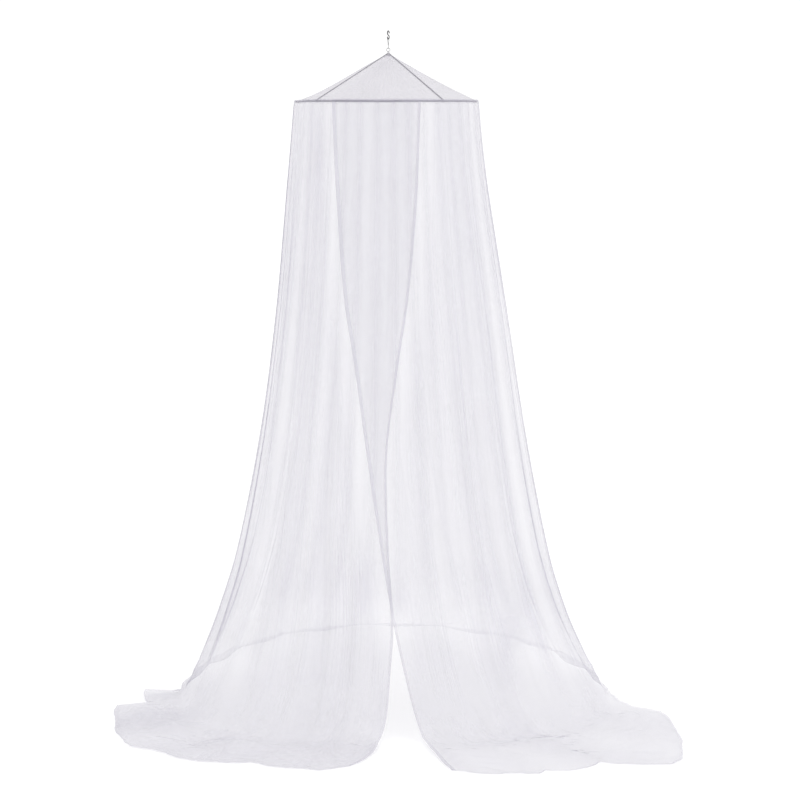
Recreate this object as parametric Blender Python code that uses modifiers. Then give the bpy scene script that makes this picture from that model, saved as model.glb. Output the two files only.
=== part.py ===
"""Mosquito net canopy: a roof net and a gathered wall net on a hoop, hung by four tapes from an S-hook.

Metres, +Z up. The origin is the point inside the S-hook's upper curl where the canopy's weight bears.
The front, where the wall net's two free edges overlap, faces -Y. Angles are degrees about +Z,
counted from the front (-Y) towards +X. Heights are above the floor that the net's foot lies on.
"""
import math
from collections import namedtuple

import bpy

# ---------------------------------------------------------------- levels
FLOOR_Z = -2.264
HOOP_HEIGHT = 2.040
HOOP_Z = FLOOR_Z + HOOP_HEIGHT
HOOP_TOP_Z = HOOP_Z + 0.010

# ---------------------------------------------------------------- hook, cord loop, ring and knot
WIRE_R = 0.0016
CURL_R = 0.0066
CURL_TURN = 280.0
CURL_STEP = 20.0
HOOK_PLANE = 65.0
CORD_R = 0.0008
RING_WIRE_R = 0.0008
RING_R = 0.0056
RING_Z = -0.0590
SEAT = 0.0003
ARCH_R = 0.0020
ARCH_WIRE_R = 0.0009
KNOT_R = 0.0064
KNOT_TOP = -0.0667
KNOT_FOOT = -0.0800

# ---------------------------------------------------------------- hoop and tapes
HOOP_R = 0.2957
HOOP_ROD_R = 0.003
HOOP_SAGS = [0.0015, 0.001, 0.003, 0.0]
HOOP_POINTS = 60
HOOP_OFFSET = -0.0065
TAPE_ANGLES = [37.2, 139.3, 232.7, 311.8]
TAPE_WIDTH = 0.006
TAPE_THICK = 0.001
TAPE_TOP_R = 0.0071
TAPE_OVER_ROOF = 0.0016

# ---------------------------------------------------------------- roof net
ROOF_THICK = 0.0012
ROOF_TOP_R = 0.0073
ROOF_TOP_Z = -0.0742
ROOF_OVER_HOOP = 0.0035
ROOF_RIM_R = 0.2940
ROOF_HANGS = [0.006, 0.006, 0.0105, 0.006]
ROOF_HANG_WAYS = [1.0, 1.0, 1.8, 1.0]
ROOF_COLUMNS = 48
ROOF_ROWS = 6

# ---------------------------------------------------------------- wall net
WALL_THICK = 0.0015
HEADING_TURNS = [80.0, 53.0, 26.0]
LAP_END = 0.373
EDGE_REACH = 0.12
LAP_BLEND = 16.0
LAP_CALM = 0.15
PUDDLE_HEIGHT = 0.006
PUDDLE_RIDGE = 0.008
HEM_HEIGHT = 0.002

Section = namedtuple("Section", "height left right front back fold lap")
SECTIONS = [
    Section(2.040, 0.3023, 0.3023, 0.3023, 0.3023, 0.0006, 0.0026),
    Section(1.900, 0.3145, 0.3160, 0.3090, 0.316, 0.008, 0.0065),
    Section(1.750, 0.3290, 0.3360, 0.3170, 0.333, 0.013, 0.0080),
    Section(1.350, 0.369, 0.402, 0.3320, 0.385, 0.020, 0.0090),
    Section(0.940, 0.428, 0.467, 0.3450, 0.460, 0.028, 0.0090),
    Section(0.530, 0.513, 0.549, 0.3620, 0.560, 0.036, 0.0090),
    Section(0.320, 0.579, 0.613, 0.3780, 0.640, 0.040, 0.0080),
    Section(0.170, 0.636, 0.678, 0.3920, 0.720, 0.042, 0.0060),
    Section(0.080, 0.674, 0.723, 0.4150, 0.780, 0.040, 0.0040),
    Section(0.020, 0.702, 0.755, 0.4450, 0.830, 0.036, 0.0040),
    Section(0.000, 0.710, 0.764, 0.4620, 0.860, 0.034, 0.0040),
]

Edge = namedtuple("Edge", "height right_panel left_panel")
EDGES = [
    Edge(2.040, -34.0, 381.0),
    Edge(1.730, -28.5, 377.6),
    Edge(1.420, -23.0, 372.0),
    Edge(1.230, -17.5, 366.9),
    Edge(0.937, -10.6, 360.4),
    Edge(0.640, -3.6, 360.8),
    Edge(0.373, 3.2, 363.2),
    Edge(0.204, 8.4, 361.6),
    Edge(0.068, 12.6, 359.7),
    Edge(0.000, 14.9, 356.7),
]

Band = namedtuple("Band", "start end columns")
BANDS = [
    Band(0.000, 0.280, 30),
    Band(0.280, 0.700, 25),
    Band(0.700, 0.790, 13),
    Band(0.790, 1.000, 22),
]

WALL_HEIGHTS = [
    2.04, 1.92, 1.75, 1.56, 1.37, 1.18, 1.00, 0.82, 0.65,
    0.50, 0.373, 0.27, 0.19, 0.125, 0.075, 0.040, 0.018,
]
PUDDLE_STEPS = [0.10, 0.25, 0.42, 0.60, 0.78, 0.93, 1.00]

Valley = namedtuple("Valley", "angle half_width depth top")
VALLEYS = [
    Valley(30.0, 4.5, 0.55, 0.5),
    Valley(41.0, 4.0, 0.80, 0.7),
    Valley(52.0, 5.0, 1.00, 1.0),
    Valley(66.0, 5.0, 0.35, 0.6),
    Valley(79.0, 4.0, 0.40, 0.8),
    Valley(101.0, 6.0, 0.45, 1.0),
    Valley(118.0, 6.0, 1.00, 0.7),
    Valley(137.0, 7.0, 0.70, 0.9),
    Valley(156.0, 7.0, 0.95, 0.6),
    Valley(176.0, 7.0, 0.80, 1.0),
    Valley(197.0, 7.0, 1.00, 0.8),
    Valley(217.0, 7.0, 0.70, 0.6),
    Valley(235.0, 6.0, 0.90, 1.0),
    Valley(252.0, 6.0, 0.45, 0.7),
    Valley(279.0, 4.5, 0.40, 0.9),
    Valley(291.0, 4.0, 0.30, 0.6),
    Valley(303.0, 5.0, 1.00, 0.8),
    Valley(317.0, 4.5, 0.75, 1.0),
    Valley(329.0, 4.0, 0.90, 0.7),
    Valley(341.0, 4.5, 0.55, 0.6),
]

Hem = namedtuple("Hem", "angle reach")
HEM = [
    Hem(14.0, 0.705),
    Hem(26.0, 0.800),
    Hem(33.0, 0.855),
    Hem(35.2, 0.846),
    Hem(38.6, 0.893),
    Hem(41.0, 0.909),
    Hem(47.0, 0.910),
    Hem(48.0, 0.955),
    Hem(50.7, 1.022),
    Hem(54.0, 1.098),
    Hem(57.0, 1.106),
    Hem(60.5, 1.088),
    Hem(63.0, 1.064),
    Hem(70.0, 1.014),
    Hem(78.4, 0.957),
    Hem(81.0, 0.936),
    Hem(83.6, 0.842),
    Hem(87.8, 0.794),
    Hem(95.0, 0.776),
    Hem(104.0, 0.779),
    Hem(112.0, 0.800),
    Hem(135.0, 0.848),
    Hem(160.0, 0.884),
    Hem(180.0, 0.896),
    Hem(200.0, 0.880),
    Hem(225.0, 0.822),
    Hem(250.0, 0.748),
    Hem(264.5, 0.735),
    Hem(266.5, 0.838),
    Hem(269.0, 0.842),
    Hem(273.0, 0.829),
    Hem(274.4, 0.930),
    Hem(289.0, 0.945),
    Hem(297.5, 0.949),
    Hem(300.5, 0.942),
    Hem(304.0, 0.905),
    Hem(311.0, 0.878),
    Hem(316.0, 0.850),
    Hem(325.5, 0.750),
    Hem(330.0, 0.752),
    Hem(343.0, 0.715),
    Hem(350.0, 0.660),
]
HEM_EDGE_RIGHT = 16.2
HEM_EDGE_LEFT = 350.0

Crumple = namedtuple("Crumple", "angle way span width height")
CRUMPLES = [
    Crumple(24.0, 0.45, 9.0, 0.16, 0.012),
    Crumple(38.0, 0.70, 8.0, 0.14, 0.016),
    Crumple(48.0, 0.30, 10.0, 0.16, 0.020),
    Crumple(60.0, 0.75, 9.0, 0.16, 0.026),
    Crumple(71.0, 0.45, 8.0, 0.18, 0.022),
    Crumple(87.0, 0.60, 6.0, 0.30, 0.006),
    Crumple(108.0, 0.50, 9.0, 0.30, 0.005),
    Crumple(140.0, 0.55, 16.0, 0.30, 0.006),
    Crumple(178.0, 0.50, 16.0, 0.30, 0.004),
    Crumple(216.0, 0.50, 16.0, 0.30, 0.006),
    Crumple(246.0, 0.50, 8.0, 0.30, 0.004),
    Crumple(267.5, 1.00, 2.2, 0.14, 0.019),
    Crumple(283.0, 0.60, 6.0, 0.18, 0.028),
    Crumple(292.0, 0.40, 9.0, 0.16, 0.018),
    Crumple(304.0, 0.80, 9.0, 0.14, 0.022),
    Crumple(318.0, 0.45, 9.0, 0.16, 0.018),
    Crumple(334.0, 0.75, 8.0, 0.16, 0.014),
    Crumple(346.0, 0.40, 6.0, 0.16, 0.010),
]


# ---------------------------------------------------------------- working out forms
def smooth(low, high, value):
    """0 at low, 1 at high, with a soft start and end."""
    part = min(max((value - low) / (high - low), 0.0), 1.0)
    return part * part * (3.0 - 2.0 * part)


def between(rows, key, column, value):
    """A column of a table at a value of its key, on a smooth curve through the rows."""
    rows = sorted(rows, key=lambda row: getattr(row, key))
    keys = [getattr(row, key) for row in rows]
    marks = [getattr(row, column) for row in rows]
    last = len(rows) - 1
    if value <= keys[0]:
        return marks[0]
    if value >= keys[last]:
        return marks[last]
    i = next(n for n in range(last) if keys[n + 1] >= value)

    def slope(n):
        low, high = max(n - 1, 0), min(n + 1, last)
        return (marks[high] - marks[low]) / (keys[high] - keys[low])

    run = keys[i + 1] - keys[i]
    s = (value - keys[i]) / run
    start = marks[i] * (1.0 + 2.0 * s) * (1.0 - s) ** 2 + run * slope(i) * s * (1.0 - s) ** 2
    end = marks[i + 1] * (3.0 - 2.0 * s) * s * s - run * slope(i + 1) * (1.0 - s) * s * s
    return start + end


def straight(rows, key, column, value):
    """A column of a table at a value of its key, on straight lines between the rows."""
    for low, high in zip(rows, rows[1:]):
        if value <= getattr(high, key):
            share = (value - getattr(low, key)) / (getattr(high, key) - getattr(low, key))
            share = min(max(share, 0.0), 1.0)
            return getattr(low, column) + share * (getattr(high, column) - getattr(low, column))
    return getattr(rows[-1], column)


def around(radius, angle, z):
    """A point at a radius and an angle from the front; the hoop hangs a little to one side of the hook."""
    turn = math.radians(angle)
    share = min(max((KNOT_FOOT - z) / (KNOT_FOOT - HOOP_TOP_Z), 0.0), 1.0)
    return (radius * math.sin(turn) + HOOP_OFFSET * share, -radius * math.cos(turn), z)


def tape_span(angle):
    """The number of the last tape before a direction, and how far it is to the next tape, from 0 to 1."""
    turn = (angle - TAPE_ANGLES[0]) % 360.0
    stops = [stop - TAPE_ANGLES[0] for stop in TAPE_ANGLES] + [360.0]
    number = max(n for n in range(len(TAPE_ANGLES)) if stops[n] <= turn)
    return number, (turn - stops[number]) / (stops[number + 1] - stops[number])


def hoop_z(angle):
    """The hoop's height in a direction; it hangs a little lower midway between two tapes."""
    number, share = tape_span(angle)
    return HOOP_Z - HOOP_SAGS[number] * math.sin(math.pi * share) ** 2


def wall_angle(place, height):
    """The direction of a place across the wall net (0 to 1) at a height; its free edges lean across."""
    base = between(EDGES, "height", "right_panel", LAP_END) + 360.0 * place
    right = between(EDGES, "height", "right_panel", height) - between(EDGES, "height", "right_panel", LAP_END)
    left = between(EDGES, "height", "left_panel", height) - between(EDGES, "height", "left_panel", LAP_END)
    return base + right * math.exp(-place / EDGE_REACH) + left * math.exp(-(1.0 - place) / EDGE_REACH)


def plain_radius(angle, height):
    """The wall's radius without its folds, from the section's left, right, front and back."""
    turn = math.radians(angle)
    side = "right" if math.sin(turn) > 0.0 else "left"
    end = "front" if math.cos(turn) > 0.0 else "back"
    share = math.sin(turn) ** 2
    across = between(SECTIONS, "height", side, height)
    along = between(SECTIONS, "height", end, height)
    return share * across + (1.0 - share) * along


def past_lap(place, height):
    """Degrees by which a place lies past the other panel's free edge; below zero where they overlap."""
    angle = wall_angle(place, height)
    if place < 0.5:
        return angle - (between(EDGES, "height", "left_panel", height) - 360.0)
    return between(EDGES, "height", "right_panel", height) + 360.0 - angle


def fold(place, height):
    """How far the wall is drawn in by its folds, from 0 on a ridge to 1 in the deepest valley."""
    foot = wall_angle(place, LAP_END)
    total = 0.0
    for valley in VALLEYS:
        off = (foot - valley.angle) / valley.half_width
        share = valley.depth * (valley.top + (1.0 - valley.top) * smooth(1.9, 0.6, height))
        total += share * math.exp(-off * off)
    return min(total, 1.0)


def wall_radius(place, height):
    """The wall net's radius with its folds, and the outer panel standing off where the two overlap."""
    past = past_lap(place, height)
    calm = LAP_CALM + (1.0 - LAP_CALM) * smooth(-4.0, LAP_BLEND, past)
    depth = between(SECTIONS, "height", "fold", height) * calm
    radius = plain_radius(wall_angle(place, height), height) - depth * fold(place, height)
    if place < 0.5:
        radius += between(SECTIONS, "height", "lap", height) * smooth(LAP_BLEND, 0.0, past)
    return radius


def wall_point(place, height):
    """A point on the hanging wall; at the hoop's height it follows the rod."""
    angle = wall_angle(place, height)
    rise = smooth(1.9, HOOP_HEIGHT, height) * (hoop_z(angle) - HOOP_Z)
    return around(wall_radius(place, height), angle, FLOOR_Z + height + rise)


def heading_point(place, turn):
    """A point on the heading, which is turned in over the rod; the turn is in degrees from outward to up."""
    angle = wall_angle(place, HOOP_HEIGHT)
    stand = wall_radius(place, HOOP_HEIGHT) - HOOP_R
    radius = HOOP_R + stand * math.cos(math.radians(turn))
    return around(radius, angle, hoop_z(angle) + stand * math.sin(math.radians(turn)))


def puddle_point(place, step):
    """A point on the part of the net that lies on the floor, from the wall's foot (0) to the hem (1)."""
    foot_angle = wall_angle(place, 0.0)
    right = (HEM_EDGE_RIGHT - EDGES[-1].right_panel) * math.exp(-place / EDGE_REACH)
    left = (HEM_EDGE_LEFT - EDGES[-1].left_panel) * math.exp(-(1.0 - place) / EDGE_REACH)
    angle = foot_angle + (right + left) * step * step
    start = wall_radius(place, 0.0)
    reach = straight(HEM, "angle", "reach", angle)
    radius = start + (reach - start) * step
    height = PUDDLE_HEIGHT + (HEM_HEIGHT - PUDDLE_HEIGHT) * step
    height += PUDDLE_RIDGE * (1.0 - fold(place, 0.0)) * (1.0 - step) ** 2
    for crumple in CRUMPLES:
        across = (angle - crumple.angle) / crumple.span
        out = (step - crumple.way) / crumple.width
        height += crumple.height * math.exp(-across * across - out * out)
    return around(radius, angle, FLOOR_Z + height)


def places():
    """The columns across the wall net, closer together towards its free edges."""
    marks = []
    for band in BANDS:
        width = (band.end - band.start) / band.columns
        marks += [band.start + width * n for n in range(band.columns)]
    return marks + [1.0]


def spread_angles(count):
    """Directions round the hoop, a quarter of them from each tape to the next."""
    quarter = count // len(TAPE_ANGLES)
    stops = TAPE_ANGLES + [TAPE_ANGLES[0] + 360.0]
    spans = zip(stops, stops[1:])
    return [start + (end - start) * n / quarter for start, end in spans for n in range(quarter)]


def arc(centre, radius, start, end, step):
    """Points (across, up) along an arc; angles are from across towards up."""
    count = max(int(round(abs(end - start) / step)), 1)
    turns = [math.radians(start + (end - start) * n / count) for n in range(count + 1)]
    return [(centre[0] + radius * math.cos(t), centre[1] + radius * math.sin(t)) for t in turns]


# ---------------------------------------------------------------- making objects
def finish(name, colour, roughness, metallic=0.0):
    made = bpy.data.materials.new(name)
    made.use_nodes = True
    shader = made.node_tree.nodes["Principled BSDF"]
    shader.inputs["Base Color"].default_value = colour + (1.0,)
    shader.inputs["Roughness"].default_value = roughness
    shader.inputs["Metallic"].default_value = metallic
    return made


def place_object(name, data, material, group):
    data.materials.append(material)
    made = bpy.data.objects.new(name, data)
    group.objects.link(made)
    return made


def wire(name, points, radius, closed, material, group):
    """A round wire or rod along points."""
    curve = bpy.data.curves.new(name, "CURVE")
    curve.dimensions = "3D"
    curve.bevel_depth = radius
    curve.bevel_resolution = 2
    curve.use_fill_caps = True
    spline = curve.splines.new("POLY")
    spline.points.add(len(points) - 1)
    for target, point in zip(spline.points, points):
        target.co = (*point, 1.0)
    spline.use_cyclic_u = closed
    spline.use_smooth = True
    return place_object(name, curve, material, group)


def cloth(name, rows, thick, closed, material, group):
    """A sheet of cloth through rows of points, given its thickness by Solidify."""
    width = len(rows[0])
    across = width if closed else width - 1
    faces = []
    for i in range(len(rows) - 1):
        for j in range(across):
            k = (j + 1) % width
            faces.append((i * width + j, (i + 1) * width + j, (i + 1) * width + k, i * width + k))
    mesh = bpy.data.meshes.new(name)
    mesh.from_pydata([point for row in rows for point in row], [], faces)
    mesh.shade_smooth()
    made = place_object(name, mesh, material, group)
    body = made.modifiers.new("Thickness", "SOLIDIFY")
    body.thickness = thick
    body.offset = 0.0
    return made


def turned(name, profile, steps, material, group):
    """A solid of revolution about Z through (radius, z) points; its ends are on the axis."""
    points = [(0.0, 0.0, profile[0][1])]
    for radius, z in profile[1:-1]:
        points += [around(radius, 360.0 * n / steps, z) for n in range(steps)]
    points.append((0.0, 0.0, profile[-1][1]))
    last = len(points) - 1
    rings = len(profile) - 2
    faces = []
    for n in range(steps):
        m = (n + 1) % steps
        faces.append((0, 1 + n, 1 + m))
        for ring in range(rings - 1):
            a, b = 1 + ring * steps, 1 + (ring + 1) * steps
            faces.append((a + n, b + n, b + m, a + m))
        foot = 1 + (rings - 1) * steps
        faces.append((last, foot + m, foot + n))
    mesh = bpy.data.meshes.new(name)
    mesh.from_pydata(points, [], faces)
    mesh.shade_smooth()
    return place_object(name, mesh, material, group)


# ---------------------------------------------------------------- the pieces
def make_hook(material, group):
    """An S-hook: two open curls that meet in a smooth reverse bend, seen nearly edge on from the front."""
    upper = (0.0, WIRE_R - CURL_R)
    lower = (0.0, upper[1] - 2.0 * CURL_R)
    path = arc(upper, CURL_R, 270.0 - CURL_TURN, 270.0, CURL_STEP)
    path += arc(lower, CURL_R, 90.0, 90.0 - CURL_TURN, CURL_STEP)[1:]
    turn = math.radians(HOOK_PLANE)
    points = [(u * math.cos(turn), u * math.sin(turn), z) for u, z in path]
    return wire("hook", points, WIRE_R, False, material, group)


def make_cord_loop(material, group):
    """A loop of cord over the hook's lower curl and through the ring, turned as it comes down."""
    top = WIRE_R - 4.0 * CURL_R
    foot = RING_Z + RING_R
    top_r = WIRE_R + SEAT + CORD_R
    foot_r = RING_WIRE_R + SEAT + CORD_R
    upper = [(u, z, 0.0) for u, z in arc((0.0, top), top_r, 0.0, 180.0, 30.0)]
    lower = [(u, z, 1.0) for u, z in arc((0.0, foot), foot_r, 180.0, 360.0, 30.0)]
    runs = 8
    down = []
    for n in range(1, runs):
        share = n / runs
        half = top_r + (foot_r - top_r) * smooth(0.0, 1.0, share)
        half -= 0.0010 * math.sin(math.pi * share)
        down.append((half, top + (foot - top) * share, share))
    path = upper + [(-u, z, s) for u, z, s in down] + lower + down[::-1]
    start, end = HOOK_PLANE + 90.0, 90.0
    points = []
    for u, z, share in path:
        turn = math.radians(start + (end - start) * smooth(0.0, 1.0, share))
        points.append((u * math.cos(turn), u * math.sin(turn), z))
    return wire("cord_loop", points, CORD_R, True, material, group)


def make_ring(material, group):
    """The ring that the canopy's apex is tied to, facing the front."""
    points = [(u, 0.0, z) for u, z in arc((0.0, RING_Z), RING_R, 0.0, 345.0, 15.0)]
    return wire("apex_ring", points, RING_WIRE_R, True, material, group)


def make_knot(material, group, cutters):
    """The bound top of the tapes: a turned bead with a small arch of tape through the ring."""
    bead = turned(
        "apex_knot",
        [
            (0.0, KNOT_TOP),
            (0.45 * KNOT_R, KNOT_TOP - 0.0004),
            (0.80 * KNOT_R, KNOT_TOP - 0.0022),
            (KNOT_R, KNOT_TOP - 0.0048),
            (KNOT_R, KNOT_FOOT + 0.0012),
            (0.80 * KNOT_R, KNOT_FOOT),
            (0.0, KNOT_FOOT),
        ],
        24,
        material,
        group,
    )
    foot = RING_Z - RING_R
    legs = KNOT_TOP - 0.0030
    path = [(ARCH_R, legs)] + arc((0.0, foot), ARCH_R, 0.0, 180.0, 22.5) + [(-ARCH_R, legs)]
    arch = wire("arch_shape", [(0.0, u, z) for u, z in path], ARCH_WIRE_R, False, material, cutters)
    depsgraph = bpy.context.evaluated_depsgraph_get()
    mesh = bpy.data.meshes.new_from_object(arch.evaluated_get(depsgraph))
    bpy.data.objects.remove(arch, do_unlink=True)
    tool = bpy.data.objects.new("arch_tool", mesh)
    cutters.objects.link(tool)
    weld = tool.modifiers.new("Weld", "WELD")
    weld.merge_threshold = 0.00001
    tool.display_type = "WIRE"
    tool.hide_render = True
    join = bead.modifiers.new("Arch", "BOOLEAN")
    join.operation = "UNION"
    join.solver = "EXACT"
    join.object = tool
    return bead


def make_hoop(material, group):
    """The round rod that spreads the net."""
    angles = spread_angles(HOOP_POINTS)
    points = [around(HOOP_R, angle, hoop_z(angle)) for angle in angles]
    return wire("hoop", points, HOOP_ROD_R, True, material, group)


def make_tape(number, material, group):
    """A tape from the knot down the outside of the roof net, taken once round the rod."""
    angle = TAPE_ANGLES[number]
    rod = (HOOP_R, hoop_z(angle))
    round_r = HOOP_ROD_R + SEAT + TAPE_THICK / 2.0
    top = (TAPE_TOP_R, ROOF_TOP_Z + TAPE_OVER_ROOF)
    fall = math.degrees(math.atan2(top[1] - rod[1], rod[0] - top[0]))
    reach = math.hypot(rod[0] - top[0], rod[1] - top[1])
    lift = math.degrees(math.asin(round_r / reach))
    touch = 90.0 - fall + lift
    path = [top] + arc(rod, round_r, touch, touch - 250.0, 25.0)
    rows = []
    for radius, z in path:
        middle = around(radius, angle, z)
        side = around(TAPE_WIDTH / 2.0, angle + 90.0, 0.0)
        rows.append([tuple(m + share * s for m, s in zip(middle, side)) for share in (-1.0, 1.0)])
    return cloth(f"tape_{number + 1}", rows, TAPE_THICK, False, material, group)


def make_roof(material, group):
    """A cone of net from the knot to the top of the rod, hanging in a little between the tapes."""
    angles = spread_angles(ROOF_COLUMNS)
    rows = []
    for i in range(ROOF_ROWS + 1):
        share = (i / ROOF_ROWS) ** 1.2
        radius = ROOF_TOP_R + (ROOF_RIM_R - ROOF_TOP_R) * share
        along = (radius - ROOF_TOP_R) / (ROOF_RIM_R - ROOF_TOP_R)
        row = []
        for angle in angles:
            end = hoop_z(angle) + ROOF_OVER_HOOP
            z = ROOF_TOP_Z + (end - ROOF_TOP_Z) * along
            number, between_tapes = tape_span(angle)
            hang = ROOF_HANGS[number] * math.sin(math.pi * between_tapes) ** 2
            way = along ** ROOF_HANG_WAYS[number]
            z -= hang * 4.0 * way * (1.0 - way)
            row.append(around(radius, angle, z))
        rows.append(row)
    return cloth("roof_net", rows, ROOF_THICK, True, material, group)


def make_wall(material, group):
    """One wide net, gathered on the hoop, overlapping at the front and lying on the floor at its foot."""
    marks = places()
    rows = [[heading_point(place, turn) for place in marks] for turn in HEADING_TURNS]
    rows += [[wall_point(place, height) for place in marks] for height in WALL_HEIGHTS]
    rows += [[puddle_point(place, step) for place in marks] for step in PUDDLE_STEPS]
    return cloth("wall_net", rows, WALL_THICK, False, material, group)


def main():
    for old in list(bpy.data.objects):
        bpy.data.objects.remove(old, do_unlink=True)
    group = bpy.data.collections.new("mosquito_net_canopy")
    cutters = bpy.data.collections.new("cutters")
    cutters.hide_render = True
    for made in (group, cutters):
        bpy.context.scene.collection.children.link(made)

    make_hook(finish("dark_steel", (0.06, 0.06, 0.065), 0.45, 1.0), group)
    make_cord_loop(finish("cord", (0.55, 0.55, 0.57), 0.8), group)
    make_ring(finish("bright_steel", (0.62, 0.62, 0.64), 0.3, 1.0), group)
    make_knot(finish("knot_tape", (0.22, 0.21, 0.23), 0.85), group, cutters)
    make_hoop(finish("hoop_plastic", (0.45, 0.44, 0.47), 0.5), group)
    for number in range(len(TAPE_ANGLES)):
        make_tape(number, finish(f"tape_weave_{number + 1}", (0.42, 0.41, 0.44), 0.85), group)
    make_roof(finish("roof_mesh", (0.88, 0.87, 0.91), 0.9), group)
    make_wall(finish("wall_mesh", (0.90, 0.89, 0.93), 0.9), group)


main()
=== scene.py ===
"""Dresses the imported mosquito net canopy: gathered net, tapes, cord, knot, hoop, hook, light and camera.

Metres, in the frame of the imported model: +Z up, origin at the S-hook's bearing point, front facing -Y.
Angles are degrees about +Z, from the front (-Y) towards +X. Heights are above the floor.
"""
import math
from collections import namedtuple

import bpy
import numpy as np
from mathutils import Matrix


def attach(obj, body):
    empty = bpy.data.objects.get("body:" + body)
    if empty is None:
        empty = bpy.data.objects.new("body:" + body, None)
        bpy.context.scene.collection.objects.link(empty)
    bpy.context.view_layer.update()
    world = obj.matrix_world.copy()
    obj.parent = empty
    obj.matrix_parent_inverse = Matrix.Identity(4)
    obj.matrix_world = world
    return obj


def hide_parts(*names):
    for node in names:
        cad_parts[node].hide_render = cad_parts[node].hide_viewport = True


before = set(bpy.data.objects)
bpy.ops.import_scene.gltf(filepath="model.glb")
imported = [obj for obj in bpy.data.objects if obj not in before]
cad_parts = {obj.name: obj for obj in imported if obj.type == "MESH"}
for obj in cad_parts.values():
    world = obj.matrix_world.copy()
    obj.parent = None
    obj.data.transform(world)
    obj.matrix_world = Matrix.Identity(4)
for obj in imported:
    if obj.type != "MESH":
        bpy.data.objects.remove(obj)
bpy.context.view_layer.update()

# ---------------------------------------------------------------- sizes shared with the solids
# The hoop hangs a little to one side of the hook, and sags a little between two tapes.
FLOOR_Z = -2.264
HOOP_HEIGHT = 2.040
HOOP_Z = FLOOR_Z + HOOP_HEIGHT
HOOP_TOP_Z = HOOP_Z + 0.010
HOOP_OFFSET = -0.0065
HOOP_R = 0.2957
HOOP_ROD_R = 0.003
HOOP_SAGS = [0.0015, 0.0010, 0.0030, 0.0]
HOOP_STEPS = 240

# The tapes run from the knot to the hoop and curl round its rod.
TAPE_ANGLES = [37.2, 139.3, 232.7, 311.8]
TAPE_WIDTH = 0.006
TAPE_THICK = 0.001
TAPE_TOP_R = 0.0071
TAPE_OVER_ROOF = 0.0016
TAPE_CURL = 250.0
TAPE_STEPS = 30
TAPE_COLUMNS = 7
TAPE_BAND_SHARE = 0.8

# The S-hook's wire and curls, and the ring. A piece that hangs in another stands a seat's width off it.
SEAT = 0.0003
WIRE_R = 0.0016
CURL_R = 0.0066
CURL_TURN = 280.0
CURL_STEP = 5.0
HOOK_PLANE = 65.0
RING_PLANE = 90.0
RING_WIRE_R = 0.0008
RING_R = 0.0056
RING_Z = -0.0590

# The cord loop between them. Its two runs draw together midway. It is laid of two yarns, which start off to a
# side that is never along the cord; their offset and thickness are shares of the cord's radius.
CORD_R = 0.0008
CORD_DRAW = 0.0010
CORD_STEPS = 40
CORD_TURNS = 14.0
TWIST_SIDE = np.array([0.31, 0.62, 0.72])
TWIST_SHARE = 0.45
YARN_SHARE = 0.55
ROUND_STEP = 10.0

# The knot that binds the tapes' tops: thread wound over a core, and a small arch of tape through the ring.
Outline = namedtuple("Outline", "z radius")
KNOT_TOP = -0.0667
KNOT_FOOT = -0.0800
ARCH_R = 0.0020
ARCH_WIRE_R = 0.0009
ARCH_LEGS = KNOT_TOP - 0.0030
KNOT_TURNS = 9
KNOT_STEPS = 40
THREAD_TOP = KNOT_TOP - 0.0012
THREAD_FOOT = KNOT_FOOT + 0.0009
THREAD_R = 0.0008
KNOT_OUTLINE = [
    Outline(KNOT_FOOT, 0.0050),
    Outline(KNOT_FOOT + 0.0014, 0.0056),
    Outline(KNOT_TOP - 0.0048, 0.0055),
    Outline(THREAD_TOP, 0.0034),
]
CORE_TOP = KNOT_TOP - 0.0008
CORE_FOOT = KNOT_FOOT + 0.0006
CORE_R = 0.0036

# The roof net hangs down a little between two tapes; a larger way puts the lowest point nearer the rim.
ROOF_TOP_R = 0.0073
ROOF_TOP_Z = -0.0742
ROOF_OVER_HOOP = 0.0035
ROOF_RIM_R = 0.2940
ROOF_HANGS = [0.0060, 0.0060, 0.0105, 0.0060]
ROOF_HANG_WAYS = [1.0, 1.0, 1.8, 1.0]

# The wall net's two panels overlap down to the lap's end, and part below it in a slit. The lean of their free
# edges dies away across the net. The folds are calm in the lap, and reach their full depth some way down.
LAP_END = 0.373
EDGE_REACH = 0.12
LAP_BLEND = 16.0
LAP_INSIDE = -4.0
LAP_CALM = 0.15
SAG_FROM = 1.9
FOLDS_FROM = 1.9
FOLDS_FULL = 0.6

# The net on the floor thins out towards its hem, whose two free corners turn outwards.
PUDDLE_HEIGHT = 0.006
PUDDLE_RIDGE = 0.008
HEM_HEIGHT = 0.002
HEM_EDGE_RIGHT = 16.2
HEM_EDGE_LEFT = 350.0

# The wall's plain radii on its four sides at a height, how deep its folds go, and how far the right panel
# stands over the left one.
Section = namedtuple("Section", "height left right front back fold lap")
SECTIONS = [
    Section(2.040, 0.3023, 0.3023, 0.3023, 0.3023, 0.0006, 0.0026),
    Section(1.900, 0.3145, 0.3160, 0.3090, 0.3160, 0.0080, 0.0065),
    Section(1.750, 0.3290, 0.3360, 0.3170, 0.3330, 0.0130, 0.0080),
    Section(1.350, 0.3690, 0.4020, 0.3320, 0.3850, 0.0200, 0.0090),
    Section(0.940, 0.4280, 0.4670, 0.3450, 0.4600, 0.0280, 0.0090),
    Section(0.530, 0.5130, 0.5490, 0.3620, 0.5600, 0.0360, 0.0090),
    Section(0.320, 0.5790, 0.6130, 0.3780, 0.6400, 0.0400, 0.0080),
    Section(0.170, 0.6360, 0.6780, 0.3920, 0.7200, 0.0420, 0.0060),
    Section(0.080, 0.6740, 0.7230, 0.4150, 0.7800, 0.0400, 0.0040),
    Section(0.020, 0.7020, 0.7550, 0.4450, 0.8300, 0.0360, 0.0040),
    Section(0.000, 0.7100, 0.7640, 0.4620, 0.8600, 0.0340, 0.0040),
]

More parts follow.
